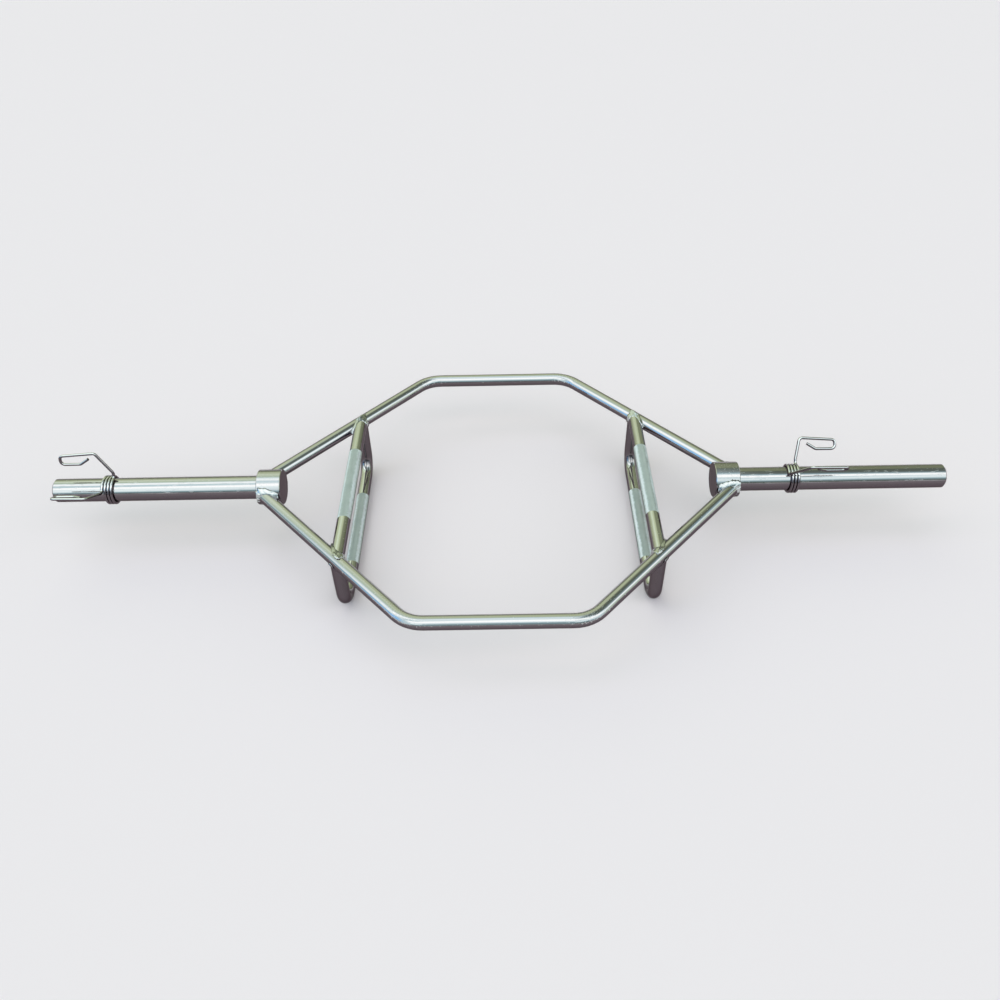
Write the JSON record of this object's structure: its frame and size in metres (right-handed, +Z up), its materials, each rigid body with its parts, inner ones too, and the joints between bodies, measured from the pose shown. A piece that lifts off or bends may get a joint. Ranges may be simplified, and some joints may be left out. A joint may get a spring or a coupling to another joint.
{
  "type": "hex trap bar",
  "caption": "Welded hexagonal tube frame to stand inside and lift, with level and drop grips at the sides, plate sleeves at the ends and spring collars that slide along them.",
  "frame": {"origin": "on the floor under the middle of the bar", "axes": "+X along the right sleeve, +Y to the rear, +Z up from the floor that the drop grips stand on"},
  "size_m": [1.883, 0.784, 0.2316],
  "materials": {
    "chromed_steel": "bright chrome plate",
    "grip_tube": "chrome plate, knurled in the middle",
    "weld_bead": "chrome plate over rippled weld metal",
    "spring_wire": "bright plated spring wire"
  },
  "bodies": {
    "bar": {"front_frame_tube": "chromed_steel", "rear_frame_tube": "chromed_steel", "left_level_grip": "grip_tube", "left_drop_grip": "grip_tube", "left_hub": "chromed_steel", "left_hub_end_disc": "chromed_steel", "left_sleeve": "chromed_steel", "left_sleeve_end_plug": "chromed_steel", "left_hub_arm_welds": "weld_bead", "left_level_grip_welds": "weld_bead", "left_drop_grip_welds": "weld_bead", "right_level_grip": "grip_tube", "right_drop_grip": "grip_tube", "right_hub": "chromed_steel", "right_hub_end_disc": "chromed_steel", "right_sleeve": "chromed_steel", "right_sleeve_end_plug": "chromed_steel", "right_hub_arm_welds": "weld_bead", "right_level_grip_welds": "weld_bead", "right_drop_grip_welds": "weld_bead"},
    "left_collar": {"left_spring_collar": "spring_wire"},
    "right_collar": {"right_spring_collar": "spring_wire"}
  },
  "joints": [
    {"name": "left_collar_slide", "type": "slide", "parent": "bar", "child": "left_collar", "axis": [-1, 0, 0], "range_m": [-0.3025, 0.1359]},
    {"name": "right_collar_slide", "type": "slide", "parent": "bar", "child": "right_collar", "axis": [1, 0, 0], "range_m": [-0.1015, 0.3369]}
  ]
}
